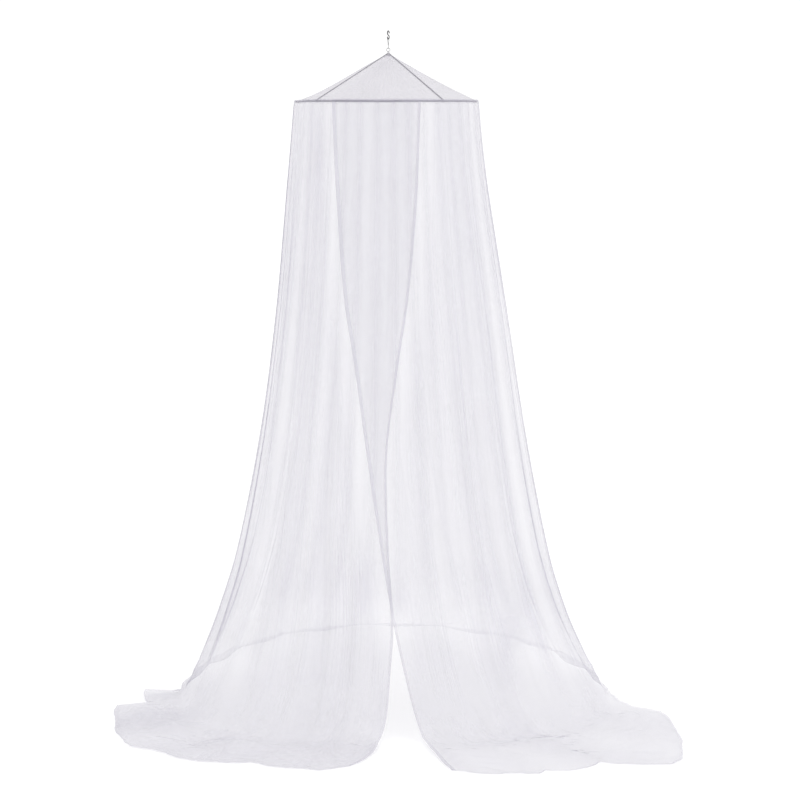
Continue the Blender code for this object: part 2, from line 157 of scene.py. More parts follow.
# Where the two free edges are at a height: the right panel's, which is on top, and the left panel's, a
# whole turn further on.
Edge = namedtuple("Edge", "height right_panel left_panel")
EDGES = [
    Edge(2.040, -34.0, 381.0),
    Edge(1.730, -28.5, 377.6),
    Edge(1.420, -23.0, 372.0),
    Edge(1.230, -17.5, 366.9),
    Edge(0.937, -10.6, 360.4),
    Edge(0.640, -3.6, 360.8),
    Edge(0.373, 3.2, 363.2),
    Edge(0.204, 8.4, 361.6),
    Edge(0.068, 12.6, 359.7),
    Edge(0.000, 14.9, 356.7),
]

# The valleys between the wall's main folds: their direction at the lap's end, their depth as a share of the
# section's, and the share of that depth that they have at the top.
Valley = namedtuple("Valley", "angle half_width depth top")
VALLEYS = [
    Valley(30.0, 4.5, 0.55, 0.5),
    Valley(41.0, 4.0, 0.80, 0.7),
    Valley(52.0, 5.0, 1.00, 1.0),
    Valley(66.0, 5.0, 0.35, 0.6),
    Valley(79.0, 4.0, 0.40, 0.8),
    Valley(101.0, 6.0, 0.45, 1.0),
    Valley(118.0, 6.0, 1.00, 0.7),
    Valley(137.0, 7.0, 0.70, 0.9),
    Valley(156.0, 7.0, 0.95, 0.6),
    Valley(176.0, 7.0, 0.80, 1.0),
    Valley(197.0, 7.0, 1.00, 0.8),
    Valley(217.0, 7.0, 0.70, 0.6),
    Valley(235.0, 6.0, 0.90, 1.0),
    Valley(252.0, 6.0, 0.45, 0.7),
    Valley(279.0, 4.5, 0.40, 0.9),
    Valley(291.0, 4.0, 0.30, 0.6),
    Valley(303.0, 5.0, 1.00, 0.8),
    Valley(317.0, 4.5, 0.75, 1.0),
    Valley(329.0, 4.0, 0.90, 0.7),
    Valley(341.0, 4.5, 0.55, 0.6),
]

# How far from the axis the hem lies on the floor.
Hem = namedtuple("Hem", "angle reach")
HEM = [
    Hem(14.0, 0.705),
    Hem(26.0, 0.800),
    Hem(33.0, 0.855),
    Hem(35.2, 0.846),
    Hem(38.6, 0.893),
    Hem(41.0, 0.909),
    Hem(47.0, 0.910),
    Hem(48.0, 0.955),
    Hem(50.7, 1.022),
    Hem(54.0, 1.098),
    Hem(57.0, 1.106),
    Hem(60.5, 1.088),
    Hem(63.0, 1.064),
    Hem(70.0, 1.014),
    Hem(78.4, 0.957),
    Hem(81.0, 0.936),
    Hem(83.6, 0.842),
    Hem(87.8, 0.794),
    Hem(95.0, 0.776),
    Hem(104.0, 0.779),
    Hem(112.0, 0.800),
    Hem(135.0, 0.848),
    Hem(160.0, 0.884),
    Hem(180.0, 0.896),
    Hem(200.0, 0.880),
    Hem(225.0, 0.822),
    Hem(250.0, 0.748),
    Hem(264.5, 0.735),
    Hem(266.5, 0.838),
    Hem(269.0, 0.842),
    Hem(273.0, 0.829),
    Hem(274.4, 0.930),
    Hem(289.0, 0.945),
    Hem(297.5, 0.949),
    Hem(300.5, 0.942),
    Hem(304.0, 0.905),
    Hem(311.0, 0.878),
    Hem(316.0, 0.850),
    Hem(325.5, 0.750),
    Hem(330.0, 0.752),
    Hem(343.0, 0.715),
    Hem(350.0, 0.660),
]

# Humps in the net on the floor: their direction, their way from the foot (0) to the hem (1), and their size.
Crumple = namedtuple("Crumple", "angle way span width height")
CRUMPLES = [
    Crumple(24.0, 0.45, 9.0, 0.16, 0.012),
    Crumple(38.0, 0.70, 8.0, 0.14, 0.016),
    Crumple(48.0, 0.30, 10.0, 0.16, 0.020),
    Crumple(60.0, 0.75, 9.0, 0.16, 0.026),
    Crumple(71.0, 0.45, 8.0, 0.18, 0.022),
    Crumple(87.0, 0.60, 6.0, 0.30, 0.006),
    Crumple(108.0, 0.50, 9.0, 0.30, 0.005),
    Crumple(140.0, 0.55, 16.0, 0.30, 0.006),
    Crumple(178.0, 0.50, 16.0, 0.30, 0.004),
    Crumple(216.0, 0.50, 16.0, 0.30, 0.006),
    Crumple(246.0, 0.50, 8.0, 0.30, 0.004),
    Crumple(267.5, 1.00, 2.2, 0.14, 0.019),
    Crumple(283.0, 0.60, 6.0, 0.18, 0.028),
    Crumple(292.0, 0.40, 9.0, 0.16, 0.018),
    Crumple(304.0, 0.80, 9.0, 0.14, 0.022),
    Crumple(318.0, 0.45, 9.0, 0.16, 0.018),
    Crumple(334.0, 0.75, 8.0, 0.16, 0.014),
    Crumple(346.0, 0.40, 6.0, 0.16, 0.010),
]

# ---------------------------------------------------------------- sizes of the fine cloth
Wave = namedtuple("Wave", "size across down seed")
Ripple = namedtuple("Ripple", "size count start")
Down = namedtuple("Down", "length amount")

# Rows of the wall net's sheet: degrees round the heading's turn, heights, and steps along the floor.
WALL_COLUMNS = 896
HEADING_TURNS = [80.0, 64.0, 48.0, 32.0, 16.0]
TOP_ROWS = [2.040, 2.036, 2.030, 2.022, 2.012, 2.000, 1.985, 1.965]
MIDDLE_ROWS = np.linspace(1.94, 0.16, 60)
FOOT_ROWS = [0.135, 0.110, 0.088, 0.068, 0.050, 0.034, 0.020]
PUDDLE_STEPS = np.append(np.linspace(0.0, 0.955, 25)[1:], [0.98, 1.0])

# The fine gathers: their number, their depth down the cloth, and their unevenness. Each also shows a split at
# half its width. They flatten out on the floor and in the lap, where the inner panel's point inwards.
GATHERS = 112
GATHER_DEPTHS = [Down(0.0, 0.0030), Down(0.5, 0.0050), Down(1.9, 0.0070), Down(2.6, 0.0070)]
GATHER_SHARES = [Down(0.0, 0.25), Down(0.008, 0.30), Down(0.030, 1.00), Down(2.0, 1.00), Down(2.4, 0.60)]
GATHER_SUNK = 0.45
GATHER_WANDER = Wave(0.9, 46.0, 1.1, 1.0)
GATHER_WAVER = Wave(0.35, 150.0, 2.3, 2.0)
GATHER_MEAN = 0.62
GATHER_LEAST = 0.15
GATHER_STRENGTH = Wave(0.38, 210.0, 1.7, 3.0)
GATHER_SPLIT = Wave(0.3, 90.0, 3.0, 4.0)
WHOLE_SHARE = 0.82
SPLIT_SHARE = 0.18
FLOOR_GATHER = 0.2
FLOOR_GATHER_TOP = 0.22
FLOOR_GATHER_FADE = (0.9, 0.3)
LAPPED_FROM = 14.0
LAPPED_FULL = 2.0
LAPPED_GATHER = 0.55
LAP_TURN_IN = 1.95

# The creases, which start a little above the floor, and the hem's unevenness.
CREASE_START = 0.22
CREASE_DEPTH = 0.008
CREASE_FADE = 0.5
CREASE_WIDTH = 0.062
CREASE_SHARE = 0.75
CREASE_SHARP = 1.6
FINE_WIDTH = 0.029
FINE_SHARE = 0.25
FINE_SHARP = 1.4
FINE_LEAN = 1.7
FINE_TURN = 0.05
CREASE_LEAN = Wave(0.9, 0.16, 7.0, 5.0)
CREASE_WAVER = Wave(0.5, 0.45, 18.0, 6.0)
CREASE_PATCH = Wave(0.5, 0.3, 11.0, 7.0)
HEM_WANDER = Wave(0.005, 0.35, 0.0, 6.0)
HEM_WAVER = Wave(0.002, 0.8, 0.0, 7.0)
FLOOR_CLEAR = 0.0012

# The roof net's sheet and its low pleats: their number and depth, the ripples that make them uneven, and
# where they fade out at the knot, at the rim and beside the tapes.
ROOF_COLUMNS = 384
ROOF_ROWS = 26
ROOF_ROW_POWER = 1.15
ROOF_PLEATS = 48.0
ROOF_PLEAT_DEPTH = 0.0011
ROOF_PLEAT_SHIFTS = [Ripple(0.8, 3.0, 1.0), Ripple(0.5, 7.0, 0.0)]
ROOF_PLEAT_MEAN = 0.6
ROOF_PLEAT_CHANGE = Ripple(0.4, 5.0, 2.0)
ROOF_PLEAT_BEATS = 2.0
ROOF_PLEAT_KNOT = (0.0, 0.25)
ROOF_PLEAT_RIM = (1.02, 0.9)
ROOF_PLEAT_TAPE = (0.0, 0.3)
ROOF_FLAT_R = 0.2

# ---------------------------------------------------------------- how much of the light the net stops
# One layer of the plain net: down the wall, and then round the part on the floor.
WALL_SHEER = [
    Down(0.0, 0.388),
    Down(0.3, 0.384),
    Down(0.7, 0.370),
    Down(1.6, 0.354),
    Down(1.9, 0.360),
]

Lying = namedtuple("Lying", "angle sheer")
PUDDLE_SHEER = [
    Lying(14.0, 0.290),
    Lying(40.0, 0.260),
    Lying(58.0, 0.280),
    Lying(75.0, 0.295),
    Lying(95.0, 0.200),
    Lying(120.0, 0.110),
    Lying(240.0, 0.110),
    Lying(262.0, 0.330),
    Lying(285.0, 0.380),
    Lying(305.0, 0.350),
    Lying(330.0, 0.330),
    Lying(350.0, 0.340),
]

# Places that are bunched (above zero) or thin (below zero): half their span in degrees and metres, how many
# degrees they lean over in a metre of height, and the share by which the net is denser.
Patch = namedtuple("Patch", "angle height span tall lean amount")
PATCHES = [
    Patch(315.0, 1.860, 10.0, 0.160, 0.0, 0.24),
    Patch(298.0, 1.500, 11.0, 0.360, 0.0, 0.19),
    Patch(334.0, 1.420, 6.0, 0.240, 0.0, 0.14),
    Patch(54.0, 1.600, 9.0, 0.360, -3.0, 0.13),
    Patch(30.0, 1.450, 9.0, 0.350, -5.0, -0.08),
    Patch(84.0, 1.200, 13.0, 0.300, 0.0, -0.16),
    Patch(69.0, 0.650, 4.5, 0.600, 0.0, -0.30),
    Patch(57.0, 0.850, 5.0, 0.340, -6.0, 0.07),
    Patch(26.0, 0.450, 9.0, 0.200, -5.0, -0.06),
    Patch(30.0, 0.850, 13.0, 0.330, -4.0, -0.14),
    Patch(30.0, 0.590, 12.0, 0.140, -4.0, -0.11),
    Patch(16.0, 0.840, 5.0, 0.300, 0.0, -0.11),
    Patch(325.0, 1.100, 9.0, 0.360, 3.0, -0.07),
    Patch(339.0, 0.660, 6.5, 0.240, 0.0, -0.17),
    Patch(40.5, 0.560, 4.5, 0.170, 0.0, -0.15),
    Patch(64.5, 0.250, 4.0, 0.100, 0.0, 0.45),
    Patch(5.0, 0.430, 5.0, 0.080, 0.0, 0.85),
    Patch(352.0, 0.470, 8.0, 0.120, 0.0, 0.44),
    Patch(292.5, 0.550, 3.0, 0.340, 0.0, -0.26),
    Patch(271.0, 0.850, 11.0, 0.750, 0.0, -0.18),
    Patch(275.0, 0.900, 4.0, 0.900, 0.0, -0.20),
    Patch(89.0, 0.850, 11.0, 0.700, 0.0, -0.22),
    Patch(86.0, 0.900, 4.0, 0.900, 0.0, -0.25),
    Patch(297.5, 0.720, 4.0, 0.200, 0.0, 0.42),
    Patch(299.0, 0.250, 4.0, 0.120, 0.0, 0.48),
    Patch(56.0, 0.320, 5.0, 0.130, 40.0, 0.52),
    Patch(37.0, 0.290, 6.0, 0.120, 0.0, -0.11),
    Patch(328.0, 0.080, 24.0, 0.120, 0.0, -0.03),
    Patch(330.0, 0.155, 16.0, 0.022, 0.0, 0.12),
    Patch(306.0, 0.115, 9.0, 0.016, 0.0, 0.10),
    Patch(42.0, 0.080, 26.0, 0.120, 0.0, -0.14),
    Patch(41.5, 1.050, 0.8, 0.800, -8.0, 0.22),
    Patch(27.0, 0.750, 0.7, 0.300, -20.0, 0.16),
]

# The back is sheerer towards its foot, and the front is denser low down. The wall is sheerer where its panels
# overlap, and on the steep flanks of its folds at the two sides.
BACK_FROM = (95.0, 130.0)
BACK_TO = (265.0, 230.0)
BACK_FOOT = 0.29
BACK_THIN = 0.66
PUDDLE_BLEND = 0.25
LOW_TOP = (0.60, 0.42)
LOW_FOOT = (0.06, 0.30)
LOW_DENSE = 0.14
LAP_THIN = 0.42
FLANK_HEIGHT = 0.5
FLANK_R = 0.5
FLANK_FROM = (50.0, 70.0)
FLANK_FOOT = (-0.02, 0.18)
FLANK_THIN = 0.64

# The gathers' steep sides, the streaks down the net and the creases on the floor show as denser lines.
SLOPE_PLAIN = 0.94
SLOPE_TOP = 0.12
SLOPE_MORE = 0.14
SLOPE_MOST = 1.6
STREAK_FULL = 0.9
STREAK_TOP = 0.05
STREAK_MORE = 0.04
STREAKS = Wave(1.0, 60.0, 0.8, 8.0)
CREASE_DENSE = 0.06
CREASE_BEHIND = 0.9

# The hem, its stitched edge, the free edges and the heading: how wide each is, and how dense.
HEM_BAND = 0.014
HEM_BAND_DENSE = 1.10
HEM_EDGE = 0.0035
HEM_EDGE_DENSITY = 0.48
HEM_EDGE_BEHIND = 0.36
EDGE_BAND = 0.0035
EDGE_DENSITY = 0.47
HEADING_BAND = 0.012
HEADING_DENSITY = 0.42
HEADING_THIN = 0.16
HEADING_THIN_AT = -12.0
HEADING_THIN_SPAN = (42.0, 26.0)

# The roof: its plain net, its pleats' steep sides, the bunched net at the knot, and its edge on the hoop.
ROOF_SHEER = 0.40
ROOF_SLOPE_DENSE = 0.35
ROOF_KNOT_DENSE = 0.16
ROOF_KNOT_REACH = 0.10
ROOF_EDGE = 0.985
ROOF_EDGE_DENSITY = 0.42

# ---------------------------------------------------------------- finishes, light and camera
# The net's yarns: their pitch across and down, and how narrow they are. WEAVE and WEAR are each a gain and a
# start: how much more light the yarns stop than the holes, and how uneven the net is. NET_GRAIN is the scale
# and detail of its noise. A mottle has its darker colour below one level of the noise and its paler one above
# the next, with a blend between them.
NET_PITCH = 0.0019
NET_TALL = 0.8
YARN_NARROW = 3.0
WEAVE = (0.34, 0.82)
WEAR = (0.16, 0.92)
NET_GRAIN = (9.0, 3.0)
MOTTLE_FROM = 0.35
MOTTLE_TO = 0.65
TAPE_RIB = 0.0012

# A wide plain floor, even light from all round, and a soft sun that stands high in front on the right.
FLOOR_SIZE = 3000.0
FLOOR_DROP = 0.0005
WORLD_STRENGTH = 1.08
SUN_STRENGTH = 0.45
SUN_SPREAD = 25.0
SUN_TILT = 48.0
SUN_TURN = 52.0

# The camera stands level with the hoop; the focal length and the axis' column are read in the photo's pixels.
CAMERA_DISTANCE = 6.0
CAMERA_PITCH = 9.4
CAMERA_DROP = 0.0005
SENSOR_WIDTH = 36.0
FOCAL_PX = 1805.0
FRAME_PX = 800.0
AXIS_PX = 388.5


# ---------------------------------------------------------------- working out forms
def smooth(low, high, value):
    """0 at low, 1 at high, with a soft start and end."""
    part = np.clip((value - low) / (high - low), 0.0, 1.0)
    return part * part * (3.0 - 2.0 * part)


def between(rows, key, column, value):
    """A column of a table at values of its key, on a smooth curve through the rows."""
    rows = sorted(rows, key=lambda row: getattr(row, key))
    keys = np.array([getattr(row, key) for row in rows])
    marks = np.array([getattr(row, column) for row in rows])
    last = len(rows) - 1
    low = np.maximum(np.arange(last + 1) - 1, 0)
    high = np.minimum(np.arange(last + 1) + 1, last)
    slopes = (marks[high] - marks[low]) / (keys[high] - keys[low])
    value = np.clip(np.asarray(value, float), keys[0], keys[last])
    i = np.clip(np.searchsorted(keys, value, side="left") - 1, 0, last - 1)
    run = keys[i + 1] - keys[i]
    s = (value - keys[i]) / run
    start = marks[i] * (1.0 + 2.0 * s) * (1.0 - s) ** 2 + run * slopes[i] * s * (1.0 - s) ** 2
    end = marks[i + 1] * (3.0 - 2.0 * s) * s * s - run * slopes[i + 1] * (1.0 - s) * s * s
    return start + end


def straight(rows, key, column, value):
    """A column of a table at values of its key, on straight lines between the rows."""
    keys = [getattr(row, key) for row in rows]
    return np.interp(value, keys, [getattr(row, column) for row in rows])


def lengths(points):
    """How far along a path each of its points lies, or down a grid each of its rows on average."""
    steps = np.linalg.norm(np.diff(points, axis=0), axis=-1)
    if steps.ndim > 1:
        steps = steps.mean(axis=1)
    return np.concatenate([[0.0], np.cumsum(steps)])


def around(radius, angle, z):
    """Points at a radius and an angle from the front; the hoop hangs a little to one side of the hook."""
    turn = np.radians(angle)
    share = np.clip((KNOT_FOOT - z) / (KNOT_FOOT - HOOP_TOP_Z), 0.0, 1.0)
    x = radius * np.sin(turn) + HOOP_OFFSET * share
    return np.stack(np.broadcast_arrays(x, -radius * np.cos(turn), z), axis=-1)


def tape_span(angle):
    """The number of the last tape before a direction, and how far it is to the next tape, from 0 to 1."""
    stops = np.array(TAPE_ANGLES + [TAPE_ANGLES[0] + 360.0])
    turn = stops[0] + (angle - stops[0]) % 360.0
    way = np.interp(turn, stops, np.arange(len(stops)))
    number = np.minimum(way.astype(int), len(TAPE_ANGLES) - 1)
    return number, way - number


def hoop_z(angle):
    """The hoop's height in a direction; it hangs a little lower midway between two tapes."""
    number, share = tape_span(angle)
    return HOOP_Z - np.array(HOOP_SAGS)[number] * np.sin(math.pi * share) ** 2


def wall_angle(place, height):
    """The direction of a place across the wall net (0 to 1) at a height; its free edges lean across."""
    base = between(EDGES, "height", "right_panel", LAP_END) + 360.0 * place
    right = between(EDGES, "height", "right_panel", height) - between(EDGES, "height", "right_panel", LAP_END)
    left = between(EDGES, "height", "left_panel", height) - between(EDGES, "height", "left_panel", LAP_END)
    return base + right * np.exp(-place / EDGE_REACH) + left * np.exp(-(1.0 - place) / EDGE_REACH)


def plain_radius(angle, height):
    """The wall's radius before its folds, blended from the radii on its four sides."""
    sides = ("left", "right", "front", "back")
    left, right, front, back = (between(SECTIONS, "height", side, height) for side in sides)
    turn = np.radians(angle)
    side = np.where(np.sin(turn) > 0.0, right, left)
    end = np.where(np.cos(turn) > 0.0, front, back)
    share = np.sin(turn) ** 2
    return share * side + (1.0 - share) * end


def past_lap(place, height):
    """Degrees by which a place lies past the other panel's free edge; below zero where they overlap."""
    angle = wall_angle(place, height)
    from_left = angle - (between(EDGES, "height", "left_panel", height) - 360.0)
    from_right = between(EDGES, "height", "right_panel", height) + 360.0 - angle
    return np.where(place < 0.5, from_left, from_right)


def fold(place, height):
    """How far the wall is drawn in by its main folds, from 0 on a ridge to 1 in the deepest valley."""
    angle = wall_angle(place, LAP_END)
    full = smooth(FOLDS_FROM, FOLDS_FULL, height)
    total = 0.0
    for valley in VALLEYS:
        off = (angle - valley.angle) / valley.half_width
        total = total + valley.depth * (valley.top + (1.0 - valley.top) * full) * np.exp(-off * off)
    return np.minimum(total, 1.0)


def wall_radius(place, height):
    """The wall's radius with its folds; the right panel stands over the left one."""
    past = past_lap(place, height)
    calm = LAP_CALM + (1.0 - LAP_CALM) * smooth(LAP_INSIDE, LAP_BLEND, past)
    depth = between(SECTIONS, "height", "fold", height) * calm
    radius = plain_radius(wall_angle(place, height), height) - depth * fold(place, height)
    outer = between(SECTIONS, "height", "lap", height) * smooth(LAP_BLEND, 0.0, past)
    return radius + np.where(place < 0.5, outer, 0.0)


def wall_points(place, height):
    """Points on the hanging wall, which follows the hoop's sag at its top."""
    angle = wall_angle(place, height)
    rise = smooth(SAG_FROM, HOOP_HEIGHT, height) * (hoop_z(angle) - HOOP_Z)
    return around(wall_radius(place, height), angle, FLOOR_Z + height + rise)


def heading_points(place, turn):
    """Points on the heading, which is turned in over the rod; the turn is in degrees from outward to up."""
    angle = wall_angle(place, HOOP_HEIGHT)
    stand = wall_radius(place, HOOP_HEIGHT) - HOOP_R
    radius = HOOP_R + stand * np.cos(np.radians(turn))
    return around(radius, angle, hoop_z(angle) + stand * np.sin(np.radians(turn)))


def puddle_angle(place, step):
    """The direction of a place across the net on the floor, from the wall's foot (0) to the hem (1)."""
    right = (HEM_EDGE_RIGHT - EDGES[-1].right_panel) * np.exp(-place / EDGE_REACH)
    left = (HEM_EDGE_LEFT - EDGES[-1].left_panel) * np.exp(-(1.0 - place) / EDGE_REACH)
    return wall_angle(place, 0.0) + (right + left) * step * step


def puddle_points(place, step):
    """Points on the part of the net that lies on the floor, from the wall's foot (0) to the hem (1)."""
    angle = puddle_angle(place, step)
    start = wall_radius(place, 0.0)
    reach = straight(HEM, "angle", "reach", angle)
    height = PUDDLE_HEIGHT + (HEM_HEIGHT - PUDDLE_HEIGHT) * step
    height = height + PUDDLE_RIDGE * (1.0 - fold(place, 0.0)) * (1.0 - step) ** 2
    for crumple in CRUMPLES:
        across = (angle - crumple.angle) / crumple.span
        out = (step - crumple.way) / crumple.width
        height = height + crumple.height * np.exp(-across * across - out * out)
    return around(start + (reach - start) * step, angle, FLOOR_Z + height)


def drift(a, b, seed):
    """A slow, uneven wave over two directions: four sines, mostly between -1 and 1 in all.

    Its other numbers mean nothing on their own: they keep the four out of step with each other.
    """
    total = 0.0
    for n in range(4):
        turn = 1.7 * seed + 2.4 * n
        across = a * (1.0 + 0.61 * n) * math.cos(turn)
        down = b * (1.0 + 0.47 * n) * math.sin(turn)
        total = total + np.sin(across + down + 3.1 * turn)
    return total / 2.6


def waver(wave, across, down):
    """A named slow wave at a place on the cloth."""
    return wave.size * drift(across * wave.across, down * wave.down, wave.seed)


def ripple(wave, turn):
    """A named regular wave in a direction from the axis."""
    return wave.size * np.sin(wave.count * turn + wave.start)


def outward(grid):
    """The unit normal of a grid of points, facing away from the inside of the net."""
    down = np.gradient(grid, axis=0)
    across = np.gradient(grid, axis=1)
    normal = np.cross(across, -down)
    return normal / np.maximum(np.linalg.norm(normal, axis=-1, keepdims=True), 1e-12)


def gathers(place, level):
    """The fine gathers' height over the sheet, from 0 to 1."""
    phase = GATHERS * place + waver(GATHER_WANDER, place, level) + waver(GATHER_WAVER, place, level)
    strength = GATHER_MEAN + waver(GATHER_STRENGTH, place, level)
    whole = 0.5 + 0.5 * np.cos(2.0 * np.pi * phase)
    split = 0.5 + 0.5 * np.cos(2.0 * np.pi * (phase * 2.0 + waver(GATHER_SPLIT, place, level)))
    return np.clip(strength, GATHER_LEAST, 1.0) * (WHOLE_SHARE * whole + SPLIT_SHARE * split)


def creases(angle, run):
    """Low creases in cloth that lies on a floor, running round the foot, as a height from 0 to 1."""
    lean = waver(CREASE_LEAN, angle, run) + waver(CREASE_WAVER, angle, run)
    broad = 1.0 - np.abs(np.sin(np.pi * (run / CREASE_WIDTH + lean)))
    fine = 1.0 - np.abs(np.sin(np.pi * (run / FINE_WIDTH + FINE_LEAN * lean + angle * FINE_TURN)))
    patch = 0.5 + waver(CREASE_PATCH, angle, run)
    return np.clip(patch, 0.0, 1.0) * (CREASE_SHARE * broad**CREASE_SHARP + FINE_SHARE * fine**FINE_SHARP)


# ---------------------------------------------------------------- node helpers
def node(tree, kind, **settings):
    """A new node with some of its settings."""
    made = tree.nodes.new(kind)
    for name, value in settings.items():
        setattr(made, name, value)
    return made


def math_node(tree, operation, *values, clamp=False):
    """One step of arithmetic in a shader; each value is a number or another node's output."""
    made = node(tree, "ShaderNodeMath", operation=operation, use_clamp=clamp)
    for socket, value in zip(made.inputs, values):
        if isinstance(value, (int, float)):
            socket.default_value = value
        else:
            tree.links.new(value, socket)
    return made.outputs[0]


def mottle(tree, scale, detail, low, high):
    """Noise in object space, and the colour that it gives between two colours."""
    place = node(tree, "ShaderNodeTexCoord")
    noise = node(tree, "ShaderNodeTexNoise")
    noise.inputs["Scale"].default_value = scale
    noise.inputs["Detail"].default_value = detail
    ramp = node(tree, "ShaderNodeValToRGB")
    ramp.color_ramp.elements[0].color = (*low, 1.0)
    ramp.color_ramp.elements[1].color = (*high, 1.0)
    ramp.color_ramp.elements[0].position = MOTTLE_FROM
    ramp.color_ramp.elements[1].position = MOTTLE_TO
    tree.links.new(place.outputs["Object"], noise.inputs["Vector"])
    tree.links.new(noise.outputs["Fac"], ramp.inputs["Fac"])
    return noise.outputs["Fac"], ramp.outputs["Color"]


def cloth_axes(tree):
    """The cloth's own coordinates in metres: across it and down it."""
    cloth = node(tree, "ShaderNodeUVMap", uv_map="cloth")
    split = node(tree, "ShaderNodeSeparateXYZ")
    tree.links.new(cloth.outputs["UV"], split.inputs[0])
    return split.outputs[0], split.outputs[1]


def add_bump(tree, shader, height, strength, distance):
    """Makes a shader's surface look raised where a height is large."""
    bump = node(tree, "ShaderNodeBump")
    bump.inputs["Strength"].default_value = strength
    bump.inputs["Distance"].default_value = distance
    tree.links.new(height, bump.inputs["Height"])
    tree.links.new(bump.outputs["Normal"], shader.inputs["Normal"])


def shading(material):
    """A material's node tree and its shader."""
    return material.node_tree, material.node_tree.nodes["Principled BSDF"]


def new_material(name, colour, roughness, metallic=0.0):
    """An even finish."""
    made = bpy.data.materials.new(name)
    made.use_nodes = True
    _, shader = shading(made)
    shader.inputs["Base Color"].default_value = (*colour, 1.0)
    shader.inputs["Roughness"].default_value = roughness
    shader.inputs["Metallic"].default_value = metallic
    return made


def mottled_material(name, colour, roughness, metallic, scale, detail, low, high):
    """A finish whose colour varies a little between two."""
    made = new_material(name, colour, roughness, metallic)
    tree, shader = shading(made)
    _, tone = mottle(tree, scale, detail, low, high)
    tree.links.new(tone, shader.inputs["Base Color"])
    return made


def tape_material():
    """Woven tape, with fine ribs across it. Its dark grey colour has the tape's shade painted into it."""
    made = mottled_material(
        "tape_painted_shade_finish", (0.30, 0.29, 0.33), roughness=0.9, metallic=0.0,
        scale=420.0, detail=2.0, low=(0.24, 0.23, 0.265), high=(0.36, 0.35, 0.39),
    )
    tree, shader = shading(made)
    _, down = cloth_axes(tree)
    ribs = math_node(tree, "SINE", math_node(tree, "MULTIPLY", down, math.tau / TAPE_RIB))
    add_bump(tree, shader, ribs, strength=0.5, distance=0.0002)
    return made


def net_material(name, low, high):
    """Sheer knitted net: fine yarns with holes between, denser where the cloth is bunched or hemmed."""
    made = new_material(name, high, roughness=0.85)
    tree, shader = shading(made)
    noise, colour = mottle(tree, *NET_GRAIN, low, high)
    tree.links.new(colour, shader.inputs["Base Color"])
    yarns = []
    for axis, pitch in zip(cloth_axes(tree), (NET_PITCH, NET_PITCH * NET_TALL)):
        wave = math_node(tree, "SINE", math_node(tree, "MULTIPLY", axis, math.pi / pitch))
        square = math_node(tree, "MULTIPLY", wave, wave)
        yarns.append(math_node(tree, "POWER", square, YARN_NARROW))
    yarn = math_node(tree, "MAXIMUM", *yarns)
    bunch = node(tree, "ShaderNodeAttribute", attribute_name="bunching")
    weave = math_node(tree, "MULTIPLY_ADD", yarn, *WEAVE)
    wear = math_node(tree, "MULTIPLY_ADD", noise, *WEAR)
    alpha = math_node(tree, "MULTIPLY", bunch.outputs["Fac"], weave)
    alpha = math_node(tree, "MULTIPLY", alpha, wear, clamp=True)
    tree.links.new(alpha, shader.inputs["Alpha"])
    add_bump(tree, shader, yarn, strength=0.25, distance=0.0003)
    shader.inputs["Sheen Weight"].default_value = 0.12
    shader.inputs["Sheen Roughness"].default_value = 0.5
    shader.inputs["Specular IOR Level"].default_value = 0.2
    return made


# ---------------------------------------------------------------- pieces
def link(obj):
    """Puts a new object in the scene."""
    bpy.context.scene.collection.objects.link(obj)
    return obj


def sheet_object(name, grid, cloth_uv, density, material, closed=False):
    """A sheet of quads through a grid of points, with cloth coordinates in metres and a density at each.

    A closed sheet's last column is joined to its first.
    """
    rows, columns = grid.shape[:2]
    across = columns if closed else columns - 1
    i, j = np.meshgrid(np.arange(rows - 1), np.arange(across), indexing="ij")
    k = (j + 1) % columns
    upper, lower = i * columns, (i + 1) * columns
    quads = np.stack([upper + j, lower + j, lower + k, upper + k], axis=-1).reshape(-1, 4)
    mesh = bpy.data.meshes.new(name)
    mesh.vertices.add(rows * columns)
    mesh.vertices.foreach_set("co", grid.reshape(-1).astype(np.float32))
    mesh.loops.add(quads.size)
    mesh.loops.foreach_set("vertex_index", quads.reshape(-1).astype(np.int32))
    mesh.polygons.add(len(quads))
    mesh.polygons.foreach_set("loop_start", (np.arange(len(quads)) * 4).astype(np.int32))
    mesh.update(calc_edges=True)
    layer = mesh.uv_layers.new(name="cloth")
    uv = cloth_uv.reshape(-1, 2)[quads.reshape(-1)]
    if closed:
        # The quads that close the ring end one column past the last, not back at the first.
        wrap = np.tile((k.reshape(-1, 1) == 0), (1, 4))
        wrap[:, :2] = False
        uv = uv.reshape(-1, 4, 2)
        uv[wrap, 0] += cloth_uv[..., 0].max() * columns / (columns - 1)
        uv = uv.reshape(-1, 2)
    layer.data.foreach_set("uv", uv.reshape(-1).astype(np.float32))
    attribute = mesh.attributes.new("bunching", "FLOAT", "POINT")
    attribute.data.foreach_set("value", density.reshape(-1).astype(np.float32))
    mesh.materials.append(material)
    mesh.validate()
    mesh.shade_smooth()
    return link(bpy.data.objects.new(name, mesh))


def tube(name, points, radius, closed, material, smoothness=5):
    """A smooth round wire, rod or cord along points."""
    curve = bpy.data.curves.new(name, "CURVE")
    curve.dimensions = "3D"
    curve.bevel_depth = radius
    curve.bevel_resolution = smoothness
    curve.use_fill_caps = True
    spline = curve.splines.new("POLY")
    spline.points.add(len(points) - 1)
    for target, point in zip(spline.points, points):
        target.co = (float(point[0]), float(point[1]), float(point[2]), 1.0)
    spline.use_cyclic_u = closed
    spline.use_smooth = True
    curve.materials.append(material)
    return link(bpy.data.objects.new(name, curve))


def arc(centre, radius, start, end, step):
    """Points on an arc in a plane, in steps of so many degrees."""
    count = max(int(round(abs(end - start) / step)), 1)
    turns = [math.radians(start + (end - start) * n / count) for n in range(count + 1)]
    return [(centre[0] + radius * math.cos(t), centre[1] + radius * math.sin(t)) for t in turns]


WallRows = namedtuple("WallRows", "base place length level out angle lying lapped")


